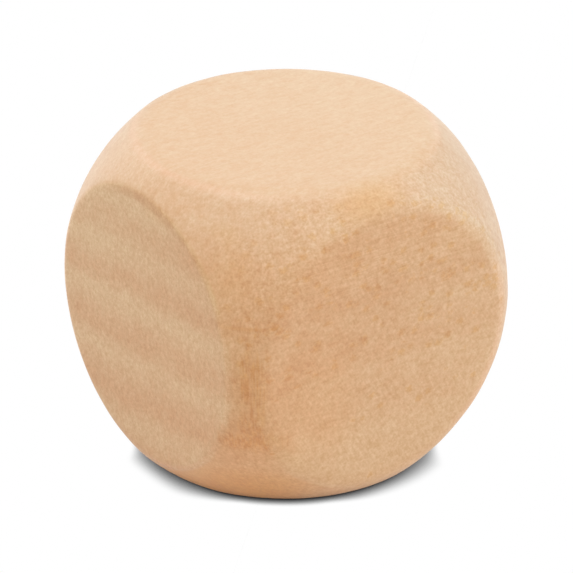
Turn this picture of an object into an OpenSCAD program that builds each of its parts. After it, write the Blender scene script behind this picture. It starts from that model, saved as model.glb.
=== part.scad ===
// Solid wooden cube, a blank block or die, in one piece.
//
// The blank is a cube sawn from square stock. Its edges and corners are taken down to one ball,
// centred in the cube, which leaves a round flat on each of the six sides. A sanded rim rolls
// from each flat into the ball. End grain wears slowly, so the rims of the two end-grain flats
// stay crisp, and the rims of the four long-grain flats are soft.
//
// Millimetres. The origin is the middle of the underside, +Z is up, and the grain runs along X.

/* [Cube] */
// Distance between opposite flats
side = 25.4; // [16:0.1:50]
// Wood taken off the middle of each edge of the cube, measured towards the cube's centre
edge_cut = 1.2; // [1.2:0.1:3.2]

/* [Rims] */
// Radius of the crisp rim around each of the two end-grain flats
end_rim_r = 1.0; // [0.4:0.1:2.8]
// Radius of the soft rim around each of the four long-grain flats
side_rim_r = 2.4; // [0.4:0.1:2.8]

/* [Hidden] */
$fn = 96;
half = side / 2;
ball_r = half * sqrt(2) - edge_cut;
// How far the rim cutter reaches past the wood
cutter_reach = 1;
// How far a rim's arc stands proud of the ball, so that the two meet in one clean line
rim_lap = 0.0002;

// Ring that rolls the upper flat into the ball with an arc of radius r. The arc's centre lies
// on both offsets, r inside the flat and r inside the ball, so the arc runs smoothly into both.
module rim_cutter(r) {
    arc_z = half - r;
    arc_x = sqrt(pow(ball_r - r + rim_lap, 2) - pow(arc_z, 2));
    ball_end = [arc_x, arc_z] * (ball_r + cutter_reach) / (ball_r - r);
    rotate_extrude()
        difference() {
            polygon([
                [arc_x, arc_z],
                [arc_x, half + cutter_reach],
                [ball_end.x, half + cutter_reach],
                ball_end
            ]);
            translate([arc_x, arc_z])
                circle(r);
        }
}

// The cube and the ball in common, with every flat's rim rolled over.
module wooden_cube() {
    color("burlywood")
        translate([0, 0, half])
            difference() {
                intersection() {
                    cube(side, center = true);
                    sphere(ball_r);
                }
                for (turn = [0 : 90 : 270])
                    rotate([turn, 0, 0])
                        rim_cutter(side_rim_r);
                for (turn = [90, -90])
                    rotate([0, turn, 0])
                        rim_cutter(end_rim_r);
            }
}

wooden_cube();
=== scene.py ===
"""A solid hardwood cube whose edges and corners are rounded to one ball, bare and finely sanded.

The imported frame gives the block's place and size. The wood is one solid figure in the block's own
coordinates: the grain runs along X, the growth rings lie nearly level, and the rays run up through
them. Each side therefore shows the figure that such a cut shows: end grain at both ends of X,
ray flecks on the front and back, and fine dashes on the top and underside.
"""

import math
from typing import NamedTuple

import bmesh
import bpy
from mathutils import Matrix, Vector, noise


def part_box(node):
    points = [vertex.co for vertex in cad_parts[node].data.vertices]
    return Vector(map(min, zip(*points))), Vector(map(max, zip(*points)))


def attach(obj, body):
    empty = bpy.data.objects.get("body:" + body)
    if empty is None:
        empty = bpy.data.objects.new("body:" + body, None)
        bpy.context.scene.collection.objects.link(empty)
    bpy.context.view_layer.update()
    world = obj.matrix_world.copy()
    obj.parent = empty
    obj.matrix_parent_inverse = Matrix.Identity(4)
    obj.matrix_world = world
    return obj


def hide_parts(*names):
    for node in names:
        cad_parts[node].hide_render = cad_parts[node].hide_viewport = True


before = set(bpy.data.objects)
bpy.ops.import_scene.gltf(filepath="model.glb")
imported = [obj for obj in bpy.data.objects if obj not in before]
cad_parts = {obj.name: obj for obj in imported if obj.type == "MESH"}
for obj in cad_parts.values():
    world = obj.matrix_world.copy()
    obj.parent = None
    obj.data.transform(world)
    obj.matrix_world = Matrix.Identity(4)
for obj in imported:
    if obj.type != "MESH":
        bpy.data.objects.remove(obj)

bl_info = {
    "name": "Wooden Cube",
    "version": (1, 0, 0),
    "blender": (4, 5, 0),
    "location": "3D View > Sidebar > Wooden Cube",
    "description": "Adds a ball-rounded, finely sanded hardwood cube and a pale studio to show it in",
    "category": "Add Mesh",
}

NODE = "wooden_cube"
MM = 0.001

LOW, HIGH = (Vector(corner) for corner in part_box(NODE))
CENTRE = (LOW + HIGH) / 2
SIDE = HIGH.x - LOW.x
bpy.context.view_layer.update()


# ---------------------------------------------------------------------------------------------
# Settings
# ---------------------------------------------------------------------------------------------

class CubeShape(bpy.types.PropertyGroup):
    """Sizes of the block itself."""

    edge_cut: bpy.props.FloatProperty(
        name="Edge cut", description="Wood taken off the middle of each edge",
        default=1.2 * MM, subtype="DISTANCE", unit="LENGTH")
    end_rim: bpy.props.FloatProperty(
        name="End rim", description="Radius of the crisp rim around each end-grain flat",
        default=1.0 * MM, subtype="DISTANCE", unit="LENGTH")
    side_rim: bpy.props.FloatProperty(
        name="Side rim", description="Radius of the soft rim around each long-grain flat",
        default=2.4 * MM, subtype="DISTANCE", unit="LENGTH")
    cells: bpy.props.IntProperty(
        name="Cells", description="Faces along each side of the block",
        default=118, min=12, max=128)
    waver: bpy.props.FloatProperty(
        name="Sanding waver", description="How far hand sanding leaves the ball uneven",
        default=0.05 * MM, subtype="DISTANCE", unit="LENGTH")


class CubeWood(bpy.types.PropertyGroup):
    """Colours and figure of the wood."""

    # The upper colour is paled as painted sheen, and the lower colour is deepened as painted shade.
    painted_sheen_upper_colour: bpy.props.FloatVectorProperty(
        name="Upper wood", description="Paler, bleached colour of what faces up",
        default=(0.618, 0.411, 0.242), subtype="COLOR", min=0, max=1)
    painted_shade_lower_colour: bpy.props.FloatVectorProperty(
        name="Lower wood", description="Deeper colour of what faces down",
        default=(0.715, 0.365, 0.149), subtype="COLOR", min=0, max=1)
    # The under colour is warmed as painted bounce light from the floor.
    painted_bounce_under_colour: bpy.props.FloatVectorProperty(
        name="Under wood", description="Richest colour, just above the surface it stands on",
        default=(0.69, 0.27, 0.015), subtype="COLOR", min=0, max=1)
    end_colour: bpy.props.FloatVectorProperty(
        name="End grain", description="Greyer colour of the two ends",
        default=(0.655, 0.361, 0.151), subtype="COLOR", min=0, max=1)
    contrast: bpy.props.FloatProperty(
        name="Grain contrast", description="Strength of the fibres, rays and mottle",
        default=1.0, min=0, max=2)


class CubeStage(bpy.types.PropertyGroup):
    """Camera, light and floor."""

    azimuth: bpy.props.FloatProperty(
        name="Azimuth", description="Camera's turn about the block, 0 looking along +Y",
        default=math.radians(-35.1), subtype="ANGLE")
    elevation: bpy.props.FloatProperty(
        name="Elevation", description="Camera's height above the horizon",
        default=math.radians(27.2), subtype="ANGLE")
    distance: bpy.props.FloatProperty(
        name="Distance", description="Camera's distance from the block's centre",
        default=0.29, subtype="DISTANCE", unit="LENGTH")
    lens: bpy.props.FloatProperty(
        name="Lens", description="Focal length",
        default=242.6, subtype="DISTANCE_CAMERA")
    world_level: bpy.props.FloatProperty(
        name="Room light", description="Strength of the even white light from all round",
        default=0.245, min=0)
    floor_white: bpy.props.FloatProperty(
        name="Floor", description="How white the floor is",
        default=0.85, min=0, max=1)


# ---------------------------------------------------------------------------------------------
# Shape
# ---------------------------------------------------------------------------------------------

# The broad and the fine unevenness of the sanding: how many dips there are to a length like the
# ball's radius, and how deep they are as a share of the waver.
WAVERS = ((3.1, 1.0), (7.3, 0.5))
# How far a point lies behind its flat, as a share of half the side, where it wavers in full.
FULL_WAVER = 0.02


def reach(direction, shape):
    """Distance from the block's centre to its surface: flat, rolled rim or ball."""
    sizes = [abs(part) for part in direction]
    along = max(sizes)
    axis = sizes.index(along)
    across = math.sqrt(max(0.0, 1.0 - along * along))
    half = SIDE / 2
    ball = half * math.sqrt(2) - shape.edge_cut
    rim = shape.end_rim if axis == 0 else shape.side_rim
    arc_along = half - rim
    arc_across = math.sqrt((ball - rim) ** 2 - arc_along ** 2)
    if half * across <= arc_across * along:
        return half / along
    if across * arc_along >= arc_across * along:
        return ball
    toward_arc = arc_across * across + arc_along * along
    return toward_arc + math.sqrt(toward_arc ** 2 - (ball - rim) ** 2 + rim ** 2)


def even_angles(point, half):
    """Moves a point of a gridded cube so that all lie at even angles about its centre."""
    return Vector(half * math.tan(part / half * math.pi / 4) for part in point)


def sanding(direction, out):
    """Share of the waver at a point: up and down round the ball, and none on the flats."""
    uneven = sum(depth * noise.noise(direction * dips) for dips, depth in WAVERS)
    behind_flat = 1 - out * max(map(abs, direction)) / (SIDE / 2)
    return uneven * min(1.0, max(0.0, behind_flat / FULL_WAVER))


def sanded_block(shape):
    """The block as a closed mesh of even cells, drawn in from a gridded cube."""
    bm = bmesh.new()
    bmesh.ops.create_cube(bm, size=SIDE)
    bmesh.ops.subdivide_edges(bm, edges=bm.edges[:], cuts=shape.cells - 1, use_grid_fill=True)
    for vert in bm.verts:
        direction = even_angles(vert.co, SIDE / 2).normalized()
        out = reach(direction, shape)
        vert.co = CENTRE + direction * (out + shape.waver * sanding(direction, out))
    bmesh.ops.recalc_face_normals(bm, faces=bm.faces[:])
    for face in bm.faces:
        face.smooth = True
    mesh = bpy.data.meshes.new("cube_block")
    bm.to_mesh(mesh)
    bm.free()
    return mesh


# ---------------------------------------------------------------------------------------------
# Steps of a material
# ---------------------------------------------------------------------------------------------

class Value:
    """What a step works out at each point. Reckoning with it adds the steps that do so."""

    def __init__(self, steps, socket):
        self.steps = steps
        self.socket = socket

    def __add__(self, other):
        return self.steps.math("ADD", self, other)

    def __sub__(self, other):
        return self.steps.math("SUBTRACT", self, other)

    def __rsub__(self, other):
        return self.steps.math("SUBTRACT", other, self)

    def __mul__(self, other):
        return self.steps.math("MULTIPLY", self, other)

    def __abs__(self):
        return self.steps.math("ABSOLUTE", self)

    __radd__ = __add__
    __rmul__ = __mul__

    def span(self, low, high, to_low=0.0, to_high=1.0):
        """Smooth step from to_low to to_high as the value goes from low to high."""
        return self.steps.add("ShaderNodeMapRange", {
            "Value": self, "From Min": low, "From Max": high, "To Min": to_low,
            "To Max": to_high}, interpolation_type="SMOOTHSTEP")


class Steps:
    """Adds nodes to one material's tree, each step fed by the ones before it."""

    def __init__(self, owner):
        """Starts the node tree of a material or a world afresh."""
        owner.use_nodes = True
        self.tree = owner.node_tree
        self.tree.nodes.clear()

    def outputs(self, kind, wanted, inputs, **settings):
        """Adds a node with these inputs and settings, and gives the outputs wanted of it."""
        node = self.tree.nodes.new(kind)
        for name, value in settings.items():
            setattr(node, name, value)
        for name, value in inputs.items():
            if isinstance(value, Value):
                self.tree.links.new(value.socket, node.inputs[name])
            else:
                node.inputs[name].default_value = value
        return [Value(self, node.outputs[name]) for name in wanted]

    def add(self, kind, inputs, output=0, **settings):
        """Adds a node and gives one output of it."""
        return self.outputs(kind, (output,), inputs, **settings)[0]

    def show(self, kind, surface):
        """Adds the last node, which shows this surface."""
        self.outputs(kind, (), {"Surface": surface})

    def math(self, operation, *values):
        """Reckons with up to three values or plain numbers."""
        return self.add("ShaderNodeMath", dict(enumerate(values)), operation=operation)

    def parts(self, vector):
        """The X, Y and Z of a vector."""
        return self.outputs("ShaderNodeSeparateXYZ", (0, 1, 2), {"Vector": vector})

    def lean(self, vector, toward):
        """How far a vector of length 1 points this way: 1 straight to it, 0 square to it."""
        return self.add("ShaderNodeVectorMath", {0: vector, 1: toward}, "Value",
                        operation="DOT_PRODUCT")

    def size_of(self, vector):
        """Length of a vector."""
        return self.add("ShaderNodeVectorMath", {0: vector}, "Value", operation="LENGTH")

    def stretch(self, place, lengths, centre=(0, 0, 0), turn=(0, 0, 0)):
        """Draws a pattern out to these lengths along X, Y and Z, about its centre."""
        return self.add("ShaderNodeMapping", {
            "Vector": place, "Location": centre, "Rotation": turn, "Scale": lengths},
            vector_type="TEXTURE")

    def mix(self, share, start, end, blend="MIX"):
        """Goes from start to end by share. The node's sockets 6 and 7 take colours."""
        return self.add("ShaderNodeMix", {0: share, 6: start, 7: end}, 2,
                        data_type="RGBA", blend_type=blend)

    def mix_numbers(self, share, start, end):
        """Goes from start to end by share. The node's sockets 2 and 3 take numbers."""
        return self.add("ShaderNodeMix", {0: share, 2: start, 3: end})


def larger(value, other):
    """The larger of the two at each point."""
    return value.steps.math("MAXIMUM", value, other)


def opaque(colour):
    """The colour with full opacity."""
    return (*colour, 1.0)


# ---------------------------------------------------------------------------------------------
# Wood: a point and the way it faces
#
# Lengths and places in the wood are in millimetres from the centre of a block of DRAWN_SIDE, and
# go with the block's size. Of a span's values, the first two say where a look starts and where it
# is full, and any after them how strong it is at each.
# ---------------------------------------------------------------------------------------------

DRAWN_SIDE = 25.4
DRAWN_MM = SIDE / DRAWN_SIDE

# The way the painted light comes from, up and a little to the right and back: wood that faces it is
# paled as painted sheen, and wood that faces away is deepened as painted shade.
PAINTED_LIGHT_SIDE = (0.30, 0.21, 0.93)
# The way that the corner with painted shade faces: to the front's top right, and up.
PAINTED_SHADE_SIDE = (0.50, -0.70, 0.51)

# How squarely the surface faces a side: 1 is flat to it, and 0 is edge on.
END_FACING = (0.68, 0.88)
SIDE_FACING = (0.55, 0.95)
BACK_FACING = (0.6, 0.95)
LEVEL_FACING = (0.75, 0.98)
OFF_LEVEL_FACING = (0.98, 0.90)
RAYED_FACING = (0.45, 0.75)
FIGURED_FACING = (0.2, 0.7)
PAINTED_SHADE_FACING = (0.86, 0.98)
RIM_INNER = (1.0, 0.96)
RIM_OUTER = (0.72, 0.90)
LEVEL_RIM_ENDWARD = (0.2, 0.45)
SIDE_RIM_FRONTWARD = (0.2, -0.2, 0.4, 1.0)

# How squarely the surface faces the side of the painted light.
END_LEAN = (0.15, -0.15)
RAYED_LEAN = (0.55, 0.30)

# How strong the wood's figure is on the ball, and how much of it the level flats lose.
LEAST_FIGURE = 0.7
FIGURE_LOST_ON_LEVEL = 0.35

# A length so great that a distance along it counts for nothing.
ENDLESS = 1e6


class Pattern(NamedTuple):
    """Soft noise in the wood, and how far it swings a look to both sides.

    The lengths are those of its features along X, Y and Z. The shift keeps patterns apart.
    """

    lengths: tuple
    shift: tuple
    swing: float = 0.0
    turn: tuple = (0, 0, 0)
    detail: float = 1.0


class WoodSpot:
    """A point of the wood: its place, the way it faces, and its share in each side's look."""

    def __init__(self, steps):
        """Reads the place and the facing, and works out the shares from them."""
        self.steps = steps
        where, normal = steps.outputs("ShaderNodeTexCoord", ("Object", "Normal"), {})
        self.place = steps.add("ShaderNodeMapping", {
            "Vector": where, "Location": tuple(-CENTRE / DRAWN_MM), "Scale": (1 / DRAWN_MM,) * 3})
        self.x, self.y, self.z = steps.parts(self.place)
        right, back, up = steps.parts(normal)
        endward, sideward, upright = abs(right), abs(back), abs(up)

        # How squarely the surface faces the side of the painted light.
        self.lean = steps.lean(normal, PAINTED_LIGHT_SIDE)
        # The right end leans as the left one does, so that both ends look alike.
        mirrored_lean = self.lean - larger(right, 0.0) * (2 * PAINTED_LIGHT_SIDE[0])
        self.end = endward.span(*END_FACING) * mirrored_lean.span(*END_LEAN)
        self.long_grain = 1.0 - self.end
        self.side = sideward.span(*SIDE_FACING)
        self.back = back.span(*BACK_FACING)
        self.rayed = sideward.span(*RAYED_FACING) * self.lean.span(*RAYED_LEAN)
        self.level = upright.span(*LEVEL_FACING)
        self.off_level = upright.span(*OFF_LEVEL_FACING)
        # Painted shade on the corner that faces the front's top right.
        self.painted_grey_shade = steps.lean(normal, PAINTED_SHADE_SIDE).span(*PAINTED_SHADE_FACING)

        self.end_rim = rim_share(endward)
        self.side_rim = rim_share(sideward) * back.span(*SIDE_RIM_FRONTWARD)
        self.level_rim = rim_share(upright) * endward.span(*LEVEL_RIM_ENDWARD)

        figured = larger(self.end, sideward.span(*FIGURED_FACING))
        self.figure = ((figured * (1.0 - LEAST_FIGURE) + LEAST_FIGURE)
                       * (1.0 - self.level * FIGURE_LOST_ON_LEVEL))

    def cloud(self, pattern):
        """Soft noise from 0 to 1."""
        at = self.steps.stretch(self.place, pattern.lengths, pattern.shift, pattern.turn)
        return self.steps.add("ShaderNodeTexNoise", {
            "Vector": at, "Scale": 1.0, "Detail": pattern.detail}, "Fac")

    def waver(self, pattern):
        """Soft noise that swings to both sides of 0."""
        swing = pattern.swing
        return self.steps.math("MULTIPLY_ADD", self.cloud(pattern), 2 * swing, -swing)

    def scattered(self, pattern):
        """Scattered points: how far the nearest is, and a number from 0 to 1 of its own."""
        at = self.steps.stretch(self.place, pattern.lengths, pattern.shift)
        away, colour = self.steps.outputs(
            "ShaderNodeTexVoronoi", ("Distance", "Color"), {"Vector": at, "Scale": 1.0})
        return away, self.steps.parts(colour)[0]

    def away_from(self, centre, lengths):
        """Distance from a centre, as a share of these lengths."""
        return self.steps.size_of(self.steps.stretch(self.place, lengths, centre))


def rim_share(facing):
    """1 on the rolled rims of the flats that this facing belongs to."""
    return facing.span(*RIM_OUTER) * facing.span(*RIM_INNER)


# ---------------------------------------------------------------------------------------------
# Wood: growth rings
# ---------------------------------------------------------------------------------------------

LONG_WAVE = Pattern((22, 9, 9), (3, 1, 0), 0.5)
SHORT_WAVE = Pattern((7, 1.6, 1.6), (0, 0, 0), 0.7)
RIPPLE = Pattern((3, 0.5, 0.4), (1, 5, 2), 0.5)
RING_TILT = 0.11
# The rings below the block's centre, how many more each millimetre up adds there, and how that
# grows with the height.
RINGS_BELOW_CENTRE = 2.323
RINGS_PER_MM = 0.2187
RING_CROWDING = 0.00234
# Over its age, from 0 to 1, a ring pales from its start and darkens toward its close.
RING_PALING = (0.0, 0.6)
RING_DARKENING = (1.0, 0.6)


def late_wood(spot):
    """1 at the dark close of each growth ring, falling to 0 in the pale wood above it, and back.

    The rings are nearly level and wavy, and lie closer together higher up.
    """
    level = (spot.z + spot.y * RING_TILT + spot.waver(LONG_WAVE) + spot.waver(SHORT_WAVE)
             + spot.waver(RIPPLE))
    rings_below = level * (level * RING_CROWDING + RINGS_PER_MM) + RINGS_BELOW_CENTRE
    age = spot.steps.math("FRACT", rings_below)
    return 1.0 - age.span(*RING_PALING) * age.span(*RING_DARKENING)


# ---------------------------------------------------------------------------------------------
# Wood: fibres, scratches and mottle
# ---------------------------------------------------------------------------------------------

FIBRE = Pattern((1.6, 0.10, 0.10), (5, 5, 5), 0.44)
STRAND = Pattern((2.6, 0.30, 0.30), (1, 2, 8), 0.34)
SCRATCH = Pattern((0.14, 0.14, 0.8), (0, 3, 0), 0.38, turn=(0, math.radians(-30), 0))
BRUSHED = Pattern((0.26, 0.26, 0.8), (3, 8, 1), 0.75)
MOTTLE = Pattern((0.18, 0.15, 0.17), (7, 0, 1), 0.55)
CLUMP = Pattern((0.40, 0.34, 0.36), (6, 2, 3), 0.46)
DRIFT = Pattern((2.2, 1.1, 1.1), (8, 1, 1), 0.20)
# How strongly the fibres draw lines: everywhere, and combed on the level flats and high up on the
# front and back.
LEAST_LINES = 0.4
COMBED_ON_LEVEL = 0.85
COMBED_HEIGHT = (2.5, 7.0)


def grain_depth(spot):
    """Dark and light of the fibres, scratches and small mottle, to both sides of 0."""
    combed = larger(spot.level * COMBED_ON_LEVEL, spot.side * spot.z.span(*COMBED_HEIGHT))
    lines = combed * (1.0 - LEAST_LINES) + LEAST_LINES + spot.end
    fibres = (spot.waver(FIBRE) + spot.waver(STRAND)) * lines
    scratches = spot.waver(SCRATCH) * spot.long_grain
    brushed = spot.waver(BRUSHED) * spot.rayed * (1.0 - spot.side)
    return (fibres + scratches + brushed
            + spot.waver(MOTTLE) + spot.waver(CLUMP) + spot.waver(DRIFT))


# ---------------------------------------------------------------------------------------------
# Wood: ray flecks, the amber streak, warm patches and the rim line
# ---------------------------------------------------------------------------------------------

FLECK = Pattern((0.85, 0.75, 0.70), (9, 0, 2))
FLECK_EDGE = Pattern((0.22, 0.16, 0.18), (2, 2, 9), 0.45)
FLECK_REACH = (0.55, 0.15)
# What makes a fleck likelier: late wood, height, and lying to the right.
FLECKS_IN_LATE_WOOD = 0.25
FLECKS_HIGH_UP = (-5, 4, -0.12, 0.42)
FLECKS_TO_THE_RIGHT = (-4, 4, -0.05, 0.06)

RAGGED = Pattern((0.28, 0.28, 2.6), (4, 4, 0), 0.7, detail=2.0)
STREAK_CENTRE = (-11.4, -12.1, -1.5)
STREAK_LENGTHS = (1.1, 1.1, 5.2)
STREAK_REACH = (1.3, 0.4)
STREAK_BETWEEN_RINGS = 0.7
STREAK_IN_LATE_WOOD = 0.4
STREAK_LINES = Pattern((0.16, 0.16, 3.0), (6, 0, 5))
STREAK_LINED = (0.38, 0.60, 0.4, 1.35)
BLOT_CENTRE = (-11.2, -11.4, -5.0)
BLOT_LENGTHS = (2.6, 2.6, 1.0)
BLOT_REACH = (1.2, 0.3)

CROSSING_HEIGHT = 4.3
CROSSING_THICKNESS = (0.20, 0.04)
CROSSING_LENGTHS = (2.4, 2.4, ENDLESS)
CROSSING_REACH = (1.2, 0.6, 0.0, 0.6)

# Where each patch lies, how far it reaches along X, Y and Z, and how strong it is.
WARM_PATCHES = {
    "top front edge": ((-1.0, -11.7, 11.5), (3.2, 1.6, 1.7), 0.70),
    "left corner": ((-11.2, -9.5, 7.6), (1.4, 1.9, 2.8), 0.30),
    "left corner's top": ((-10.6, -7.8, 10.1), (1.0, 1.8, 0.9), 0.30),
    "top of the left end": ((-12.7, -1.8, 9.9), (1.0, 1.9, 0.7), 0.30),
}
PATCH_REACH = (1.3, 0.2)

RIM_LINE_RADIUS = 10.40
RIM_LINE_LENGTHS = (ENDLESS, 1, 1)
RIM_LINE_THICKNESS = (0.55, 0.15)
RIM_LINE_HEIGHT = (7.3, 10.0)
RIM_LINE_FACING = (0.0, 0.6)
RIM_LINE_TOWARD_FRONT = (5.5, 2.0)
RIM_LINE_PATCHES = Pattern((3, 2, 2), (1, 9, 4))
RIM_LINE_PATCHY = (0.3, 0.6, 0.4, 1.0)


def flecks(spot, late):
    """1 where a broad ray comes to the surface of the front or back, mostly high up."""
    away, chance = spot.scattered(FLECK)
    crowd = (late * FLECKS_IN_LATE_WOOD + spot.z.span(*FLECKS_HIGH_UP)
             + spot.x.span(*FLECKS_TO_THE_RIGHT))
    broad = spot.steps.math("GREATER_THAN", crowd, chance)
    frayed = away + spot.waver(FLECK_EDGE)
    return frayed.span(*FLECK_REACH) * broad * spot.rayed


def stained_streak(spot, late):
    """1 in the amber streak down the edge between the left end and the front, and in its blot."""
    ragged = spot.waver(RAGGED)
    streak = (spot.away_from(STREAK_CENTRE, STREAK_LENGTHS) + ragged).span(*STREAK_REACH)
    ringed = streak * (late * STREAK_IN_LATE_WOOD + STREAK_BETWEEN_RINGS)
    blot = (spot.away_from(BLOT_CENTRE, BLOT_LENGTHS) + ragged).span(*BLOT_REACH)
    return larger(ringed, blot) * spot.cloud(STREAK_LINES).span(*STREAK_LINED)


def crossing_line(spot):
    """The thin level line across the same edge, above the streak."""
    off_line = abs(spot.z - CROSSING_HEIGHT)
    beside = spot.away_from(STREAK_CENTRE, CROSSING_LENGTHS)
    return off_line.span(*CROSSING_THICKNESS) * beside.span(*CROSSING_REACH)


def warm_patches(spot):
    """Faint warmer patches in the upper wood, which painted sheen pales."""
    return sum(spot.away_from(centre, lengths).span(*PATCH_REACH, 0.0, strength)
               for centre, lengths, strength in WARM_PATCHES.values())


def end_rim_line(spot):
    """1 along the topmost part of the dark line at the rim of each end-grain flat."""
    off_rim = abs(spot.away_from((0, 0, 0), RIM_LINE_LENGTHS) - RIM_LINE_RADIUS)
    line = off_rim.span(*RIM_LINE_THICKNESS) * spot.cloud(RIM_LINE_PATCHES).span(*RIM_LINE_PATCHY)
    return (line * spot.z.span(*RIM_LINE_HEIGHT) * spot.end.span(*RIM_LINE_FACING)
            * spot.y.span(*RIM_LINE_TOWARD_FRONT))


# ---------------------------------------------------------------------------------------------
# Wood: fading, painted rim highlights and painted sheen, from straw below 0 to rust above it
# ---------------------------------------------------------------------------------------------

# Below the top that painted sheen pales, each millimetre away from the front left edge pales the
# wood. The ends pale less toward the back. The sides are a little paler than the middle, but for the
# back.
PALER_RIGHTWARD = 0.016
PALER_BACKWARD = 0.0146
END_EVENNESS = 0.6
SIDES_PALENESS = 0.30
BACK_RICHNESS = 0.30
BELOW_PAINTED_LIGHT = (0.8, 0.1)

# The front and back are richest in a band along the grain, and again at their tops.
BAND_HEIGHT = 3.0
PALER_OFF_BAND = 0.0033
FRONT_CREST = (6.0, 10.0, 0.0, 0.08)

# The ends pale upward, across their middle and at their top, and are richer high up in front.
END_PALER_UPWARD = 0.013
END_RICHER_FRONTWARD = 0.02
END_FRONTWARD_WIDTH = (10.5, 6.5)
END_FRONTWARD_HEIGHT = (1.0, 4.0)
END_MIDDLE = (3.0, 0.5, 0.0, -0.06)
END_TOP = (8.0, 10.0, 0.0, -0.14)

# The edge beside the left end is pale round the band's height.
BESIDE_END = (-10.5, -12.0)
BESIDE_END_HEIGHT = (5.0, 2.0)
BESIDE_END_PALENESS = 0.14

# The rims are paled as painted highlights: on the ends above their foot, on the sides low down and to
# the right.
END_RIM_PAINTED_HIGHLIGHT = (-12.0, -5.0, 0.0, 0.12)
SIDE_RIM_PAINTED_HIGHLIGHT_LOW = (6.0, -1.0, 0.0, 0.15)
SIDE_RIM_PAINTED_HIGHLIGHT_RIGHT = (4.0, 9.0, 0.0, 0.50)

# The top pales to the right, and the rounded edge past it is paled as painted sheen.
TOP_PALER_RIGHTWARD = 0.009
SHOULDER_RIGHTWARD = (5.0, 11.0)
SHOULDER_LEAN = (0.6, 0.9)
SHOULDER_PAINTED_SHEEN = 0.16


def fading_across(spot):
    """Fading away from the front left edge. The right end is as rich as the left."""
    rightward = spot.x - larger(spot.x, 0.0) * spot.end * 2
    backward = spot.y * (1.0 - spot.end * END_EVENNESS)
    return rightward * -PALER_RIGHTWARD - backward * PALER_BACKWARD


def fading_of_front(spot):
    """Fading above and below the rich band of the front and back."""
    off_band = spot.z - BAND_HEIGHT
    return (spot.z.span(*FRONT_CREST) - off_band * off_band * PALER_OFF_BAND) * spot.side


def fading_of_ends(spot):
    """Fading of the ends, upward, across the middle and at the top."""
    frontward = (spot.y * abs(spot.y).span(*END_FRONTWARD_WIDTH)
                 * spot.z.span(*END_FRONTWARD_HEIGHT) * -END_RICHER_FRONTWARD)
    upward = spot.z * -END_PALER_UPWARD + spot.z.span(*END_TOP)
    return (upward + frontward + abs(spot.z).span(*END_MIDDLE)) * spot.end


def fading_beside_end(spot):
    """Fading of the edge beside the left end."""
    off_band = abs(spot.z - BAND_HEIGHT)
    return (spot.x.span(*BESIDE_END) * spot.long_grain * off_band.span(*BESIDE_END_HEIGHT)
            * -BESIDE_END_PALENESS)


def painted_rim_highlight_paling(spot):
    """Paling of the rims, as painted highlights."""
    ends = spot.end_rim * spot.z.span(*END_RIM_PAINTED_HIGHLIGHT)
    sides = spot.side_rim * larger(spot.z.span(*SIDE_RIM_PAINTED_HIGHLIGHT_LOW),
                                   spot.x.span(*SIDE_RIM_PAINTED_HIGHLIGHT_RIGHT))
    return (ends + sides) * -1


def fading_and_painted_sheen_above(spot):
    """Paling of the top, and painted sheen on the rounded edge at its right."""
    shoulder = (spot.x.span(*SHOULDER_RIGHTWARD) * spot.lean.span(*SHOULDER_LEAN)
                * (1.0 - spot.level))
    return (spot.x * spot.level * TOP_PALER_RIGHTWARD + shoulder * SHOULDER_PAINTED_SHEEN) * -1


def fading_and_painted_light(spot):
    """All of the fading, with the painted rim highlights and painted sheen: around the sides, and
    above.
    """
    sides = (fading_across(spot) + fading_of_front(spot) + fading_of_ends(spot)
             + fading_beside_end(spot) + painted_rim_highlight_paling(spot)
             + spot.back * BACK_RICHNESS - SIDES_PALENESS)
    return sides * spot.lean.span(*BELOW_PAINTED_LIGHT) + fading_and_painted_sheen_above(spot)


# ---------------------------------------------------------------------------------------------
# Wood: colour
# ---------------------------------------------------------------------------------------------

# The colours that the ground colour is multiplied by.
PALE_TONE = (1.10, 1.19, 1.32, 1.0)
DEEP_TONE = (0.90, 0.81, 0.68, 1.0)
STRAW_HUE = (1.06, 1.20, 1.33, 1.0)
RUSTY_HUE = (0.94, 0.80, 0.67, 1.0)
PLAIN_TINT = (1.0, 1.0, 1.0, 1.0)
AMBER_TINT = (0.955, 0.83, 0.57, 1.0)
# Painted rim highlight: paler and bluer.
PAINTED_RIM_HIGHLIGHT_TINT = (1.06, 1.035, 1.08, 1.0)
# Painted shade: a little darker and greyer.
PAINTED_SHADE_TINT = (0.95, 0.965, 0.985, 1.0)
OCHRE_TINT = (1.05, 0.96, 0.82, 1.0)
# Half the way between the two colours of a layer.
MIDDLE = 0.5

# The ground goes from the lower wood's colour, as painted shade, to the upper's, as painted sheen. It
# is richest low on the ball, most of all to the left, as painted bounce light from the floor.
PAINTED_LIGHT_LEAN = (-0.65, 0.95)
PAINTED_BOUNCE_LEAN = (-0.70, -0.95)
PAINTED_BOUNCE_ALONG = (-4.0, -8.5, 0.3, 1.0)

# How much each thing reddens or deepens the wood.
RING_RUST = 0.15
RING_RUST_ON_ENDS = 0.35
RINGS_FADE_UPWARD = (7.0, 3.5, 0.6, 1.05)
BLUSH = Pattern((1.3, 0.9, 0.9), (3, 3, 0), 0.25)
FRECKLE = Pattern((0.5, 0.36, 0.36), (2, 7, 4), 0.30)
WASH = Pattern((6, 4, 4), (0, 6, 6), 0.12)
RIM_LINE_DEPTH = 0.22
RIM_LINE_RUST = 0.42
FLECK_AMBER = 0.78
STREAK_AMBER = 0.84

# The painted rim highlights lie on the rims below their tops, and on those of the front and back only
# to the right.
PAINTED_HIGHLIGHT_END_HEIGHT = (8.0, 2.0)
PAINTED_HIGHLIGHT_SIDE_HEIGHT = (6.0, 2.0)
PAINTED_HIGHLIGHT_SIDE_RIGHTWARD = (5.0, 9.0)
# How far down the front and back the painted shade reaches, at half strength.
PAINTED_SHADE_FRONT_HEIGHT = (8.0, 4.0, 0.0, 0.55)

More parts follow.
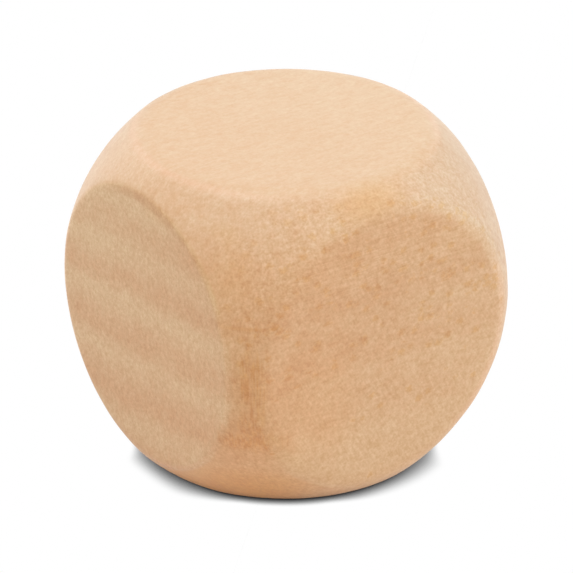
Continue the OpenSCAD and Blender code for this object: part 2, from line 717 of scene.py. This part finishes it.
# The yellow cast lies to the left, fades toward that end, and is strongest low down but not at
# the very foot.
OCHRE_LEFTMOST = (-12.3, -9.5, 0.4, 1.0)
OCHRE_LEFTWARD = (-1.0, -5.0)
OCHRE_LEAN = (0.3, -0.1)
OCHRE_FOOT = (-9.0, -5.0)
OCHRE_DOWNWARD = (5.0, -2.0, 0.3, 1.0)
OCHRE_ROUND = 0.6
OCHRE_LOST_ON_FRONT = 0.2


def ground_colour(spot, colours):
    """Colour of the wood: paler above as painted sheen, richer below as painted shade and painted
    bounce light, and greyer on the ends.
    """
    mix = spot.steps.mix
    ground = mix(spot.lean.span(*PAINTED_LIGHT_LEAN), opaque(colours.painted_shade_lower_colour),
                 opaque(colours.painted_sheen_upper_colour))
    # Painted bounce light from the floor, low on the ball and most of all to the left.
    under = spot.lean.span(*PAINTED_BOUNCE_LEAN) * spot.x.span(*PAINTED_BOUNCE_ALONG) * spot.off_level
    ground = mix(under, ground, opaque(colours.painted_bounce_under_colour))
    return mix(spot.end, ground, opaque(colours.end_colour))


def rust(spot, late, rim_line):
    """From straw at 0 to rust at 1: rings, blushes, the rim line, and the fading with its painted rim
    highlights and painted sheen.
    """
    ring_share = ((spot.end * RING_RUST_ON_ENDS + RING_RUST)
                  * spot.z.span(*RINGS_FADE_UPWARD))
    rings = (late - MIDDLE) * ring_share * spot.figure
    blushes = spot.waver(BLUSH) + spot.waver(FRECKLE) + spot.waver(WASH)
    return MIDDLE + rings + blushes + rim_line * RIM_LINE_RUST + fading_and_painted_light(spot)


def amber(spot, late):
    """1 where resin or a ray has left the wood amber."""
    streak = stained_streak(spot, late) + crossing_line(spot)
    return flecks(spot, late) * FLECK_AMBER + streak * STREAK_AMBER + warm_patches(spot)


def painted_rim_highlight(spot):
    """1 on the rims with a painted highlight."""
    ends = spot.end_rim * spot.z.span(*PAINTED_HIGHLIGHT_END_HEIGHT)
    sides = (spot.side_rim * spot.x.span(*PAINTED_HIGHLIGHT_SIDE_RIGHTWARD)
             * spot.z.span(*PAINTED_HIGHLIGHT_SIDE_HEIGHT))
    return ends + sides + spot.level_rim


def painted_grey_shade(spot):
    """1 where painted shade darkens the corner at the front's top right, and half on the front and
    back below it.
    """
    return larger(spot.painted_grey_shade, spot.side * spot.z.span(*PAINTED_SHADE_FRONT_HEIGHT))


def ochre(spot):
    """Yellow of the front's left half, a little stronger on the ball round it than on the flat."""
    leftward = spot.x.span(*OCHRE_LEFTMOST) * spot.x.span(*OCHRE_LEFTWARD)
    low = (spot.lean.span(*OCHRE_LEAN) * spot.z.span(*OCHRE_FOOT)
           * spot.z.span(*OCHRE_DOWNWARD))
    return leftward * low * (OCHRE_ROUND - spot.side * OCHRE_LOST_ON_FRONT) * spot.long_grain


# ---------------------------------------------------------------------------------------------
# Wood: the finished material
# ---------------------------------------------------------------------------------------------

GRAIN_RELIEF = {"Strength": 0.12, "Distance": 0.05 * MM}
SANDED_FINISH = {
    "Roughness": 0.6,
    "Specular IOR Level": 0.8,
    "Sheen Weight": 0.3,
    "Sheen Roughness": 0.5,
}


def cube_wood(colours):
    """Bare sanded hardwood in the block's own coordinates, with its figure all the way round."""
    material = bpy.data.materials.new("sanded_hardwood")
    steps = Steps(material)
    spot = WoodSpot(steps)
    late = late_wood(spot)
    rim_line = end_rim_line(spot)
    depth = (grain_depth(spot) * spot.figure * colours.contrast
             + rim_line * RIM_LINE_DEPTH + MIDDLE)
    layers = (
        (depth, PALE_TONE, DEEP_TONE),
        (rust(spot, late, rim_line), STRAW_HUE, RUSTY_HUE),
        (amber(spot, late), PLAIN_TINT, AMBER_TINT),
        # Painted rim highlights.
        (painted_rim_highlight(spot), PLAIN_TINT, PAINTED_RIM_HIGHLIGHT_TINT),
        # Painted shade on the corner at the front's top right.
        (painted_grey_shade(spot), PLAIN_TINT, PAINTED_SHADE_TINT),
        (ochre(spot), PLAIN_TINT, OCHRE_TINT),
    )
    colour = ground_colour(spot, colours)
    for share, start, end in layers:
        colour = steps.mix(1.0, colour, steps.mix(share, start, end), "MULTIPLY")
    relief = steps.add("ShaderNodeBump", {**GRAIN_RELIEF, "Height": depth})
    surface = steps.add("ShaderNodeBsdfPrincipled", {
        **SANDED_FINISH, "Base Color": colour, "Normal": relief})
    steps.show("ShaderNodeOutputMaterial", surface)
    return material


# ---------------------------------------------------------------------------------------------
# Studio
# ---------------------------------------------------------------------------------------------

WHITE = (1.0, 1.0, 1.0, 1.0)
# How far the floor goes out from the block to each side.
FLOOR_REACH = 3.0

# The contact shadow: how far it reaches, and how open the sky is where it is black and where it
# ends. It is longest to the right and left of the front, and short again straight to that side.
SHADOW_REACH = 2.1 * MM
SHADOW_SAMPLES = 32
SHADOW_SPAN = (0.04, 0.60)
SHADOW_SIDE = (0.82, -0.57, 0.0)
SHADOW_WIDENING = (0.25, 0.80, 0.48, 1.35)
SHADOW_TIPS = (1.0, 0.88, 0.3, 1.0)

# Where each lamp stands, in metres, and its watts.
SOFTBOXES = {
    "over": ((0.0, 0.0, 0.71), 2.8),
    "left_over": ((-0.37, 0.03, 0.61), 1.45),
    "right_over": ((0.16, -0.34, 0.61), 0.55),
    "left_back": ((-0.11, 0.61, 0.33), 1.5),
    "right": ((0.51, -0.36, 0.33), 1.3),
    "low_right": ((0.57, -0.40, 0.09), 1.0),
}
SOFTBOX_SIZE = 0.5

# How far the framing is shifted right and up, as a share of its width, and how near and how far
# the camera sees.
CAMERA_SHIFT = (0.0030, -0.0102)
CAMERA_CLIP = (0.01, 10.0)


def seen_directly(steps):
    """1 for what the camera sees straight, in a reflection or through something clear."""
    camera, glossy, through = steps.outputs(
        "ShaderNodeLightPath", ("Is Camera Ray", "Is Glossy Ray", "Is Transmission Ray"), {})
    return steps.math("MINIMUM", camera + glossy + through, 1.0)


def shadow_reach(steps):
    """Reach of the contact shadow: long to both sides of the front, where least light comes in."""
    where = steps.add("ShaderNodeTexCoord", {}, "Object")
    out = steps.stretch(where, (1, 1, 1), (CENTRE.x, CENTRE.y, 0))
    outward = steps.add("ShaderNodeVectorMath", {0: out}, operation="NORMALIZE")
    sideways = abs(steps.lean(outward, SHADOW_SIDE))
    return sideways.span(*SHADOW_WIDENING) * sideways.span(*SHADOW_TIPS) * SHADOW_REACH


def floor_material(white):
    """Pale floor seen as plain white, darkened only close under and around what stands on it."""
    material = bpy.data.materials.new("white_floor")
    steps = Steps(material)
    open_sky = steps.add("ShaderNodeAmbientOcclusion", {"Distance": shadow_reach(steps)}, "AO",
                         samples=SHADOW_SAMPLES)
    glow = steps.add("ShaderNodeEmission", {
        "Color": WHITE, "Strength": open_sky.span(*SHADOW_SPAN)})
    matte = steps.add("ShaderNodeBsdfDiffuse", {"Color": opaque((white, white, white))})
    surface = steps.add("ShaderNodeMixShader", {0: seen_directly(steps), 1: matte, 2: glow})
    steps.show("ShaderNodeOutputMaterial", surface)
    return material


def white_floor(white):
    """The floor, level with the block's foot and out of sight at its edges."""
    bm = bmesh.new()
    bmesh.ops.create_grid(bm, x_segments=1, y_segments=1, size=FLOOR_REACH)
    mesh = bpy.data.meshes.new("floor")
    bm.to_mesh(mesh)
    bm.free()
    mesh.materials.append(floor_material(white))
    floor = bpy.data.objects.new("floor", mesh)
    floor.location.z = LOW.z
    return floor


def softbox(name, place, size, watts):
    """A square lamp at place, facing the block."""
    lamp = bpy.data.lights.new(name, "AREA")
    lamp.size = size
    lamp.energy = watts
    box = bpy.data.objects.new(name, lamp)
    box.location = place
    box.rotation_euler = (CENTRE - Vector(place)).to_track_quat("-Z", "Y").to_euler()
    bpy.context.collection.objects.link(box)


def white_room(level):
    """Even light from all round, which the camera sees as plain white."""
    world = bpy.data.worlds.new("white_room")
    bpy.context.scene.world = world
    steps = Steps(world)
    strength = steps.mix_numbers(seen_directly(steps), level, 1.0)
    light = steps.add("ShaderNodeBackground", {"Color": WHITE, "Strength": strength})
    steps.show("ShaderNodeOutputWorld", light)


def place_camera(stage):
    """Camera at its angle round the block, with the small shift of the framing."""
    turn, rise = stage.azimuth, stage.elevation
    back = Vector((math.sin(turn) * math.cos(rise), -math.cos(turn) * math.cos(rise),
                   math.sin(rise)))
    camera = bpy.data.objects.new("camera", bpy.data.cameras.new("camera"))
    camera.data.lens = stage.lens
    camera.data.shift_x, camera.data.shift_y = CAMERA_SHIFT
    camera.data.clip_start, camera.data.clip_end = CAMERA_CLIP
    camera.location = CENTRE + back * stage.distance
    camera.rotation_euler = (-back).to_track_quat("-Z", "Y").to_euler()
    bpy.context.collection.objects.link(camera)
    bpy.context.scene.camera = camera


# ---------------------------------------------------------------------------------------------
# Operators and panel
# ---------------------------------------------------------------------------------------------

class MESH_OT_wooden_cube(bpy.types.Operator):
    """Add the sanded hardwood block with its figured finish"""

    bl_idname = "mesh.wooden_cube"
    bl_label = "Wooden Cube"

    def execute(self, context):
        block = bpy.data.objects.new("cube_block", sanded_block(context.scene.cube_shape))
        block.data.materials.append(cube_wood(context.scene.cube_wood))
        context.collection.objects.link(block)
        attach(block, "root")
        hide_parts(NODE)
        return {"FINISHED"}


class SCENE_OT_pale_studio(bpy.types.Operator):
    """Add the white floor, the soft lamps and the camera"""

    bl_idname = "scene.pale_studio"
    bl_label = "Pale Studio"

    def execute(self, context):
        stage = context.scene.cube_stage
        floor = white_floor(stage.floor_white)
        context.collection.objects.link(floor)
        white_room(stage.world_level)
        for name, (place, watts) in SOFTBOXES.items():
            softbox(name, place, SOFTBOX_SIZE, watts)
        place_camera(stage)
        context.scene.view_settings.view_transform = "Standard"
        return {"FINISHED"}


class VIEW3D_PT_wooden_cube(bpy.types.Panel):
    """Sizes, colours and the two buttons that build the cube and its studio"""

    bl_label = "Wooden Cube"
    bl_idname = "VIEW3D_PT_wooden_cube"
    bl_space_type = "VIEW_3D"
    bl_region_type = "UI"
    bl_category = "Wooden Cube"

    def list_settings(self, group):
        """Show every setting of a group."""
        for name in group.__annotations__:
            self.layout.prop(group, name)

    def draw(self, context):
        """Show the settings, with each button under the ones that it uses."""
        self.list_settings(context.scene.cube_shape)
        self.list_settings(context.scene.cube_wood)
        self.layout.operator(MESH_OT_wooden_cube.bl_idname)
        self.list_settings(context.scene.cube_stage)
        self.layout.operator(SCENE_OT_pale_studio.bl_idname)


CLASSES = (CubeShape, CubeWood, CubeStage, MESH_OT_wooden_cube, SCENE_OT_pale_studio,
           VIEW3D_PT_wooden_cube)


def register():
    """Make the settings, operators and panel known, and give each scene its settings."""
    for cls in CLASSES:
        bpy.utils.register_class(cls)
    bpy.types.Scene.cube_shape = bpy.props.PointerProperty(type=CubeShape)
    bpy.types.Scene.cube_wood = bpy.props.PointerProperty(type=CubeWood)
    bpy.types.Scene.cube_stage = bpy.props.PointerProperty(type=CubeStage)


def unregister():
    """Take everything back out, in reverse."""
    del bpy.types.Scene.cube_stage
    del bpy.types.Scene.cube_wood
    del bpy.types.Scene.cube_shape
    for cls in reversed(CLASSES):
        bpy.utils.unregister_class(cls)


def main():
    """Build the block and its studio."""
    register()
    bpy.ops.mesh.wooden_cube()
    bpy.ops.scene.pale_studio()


if __name__ == "__main__":
    main()
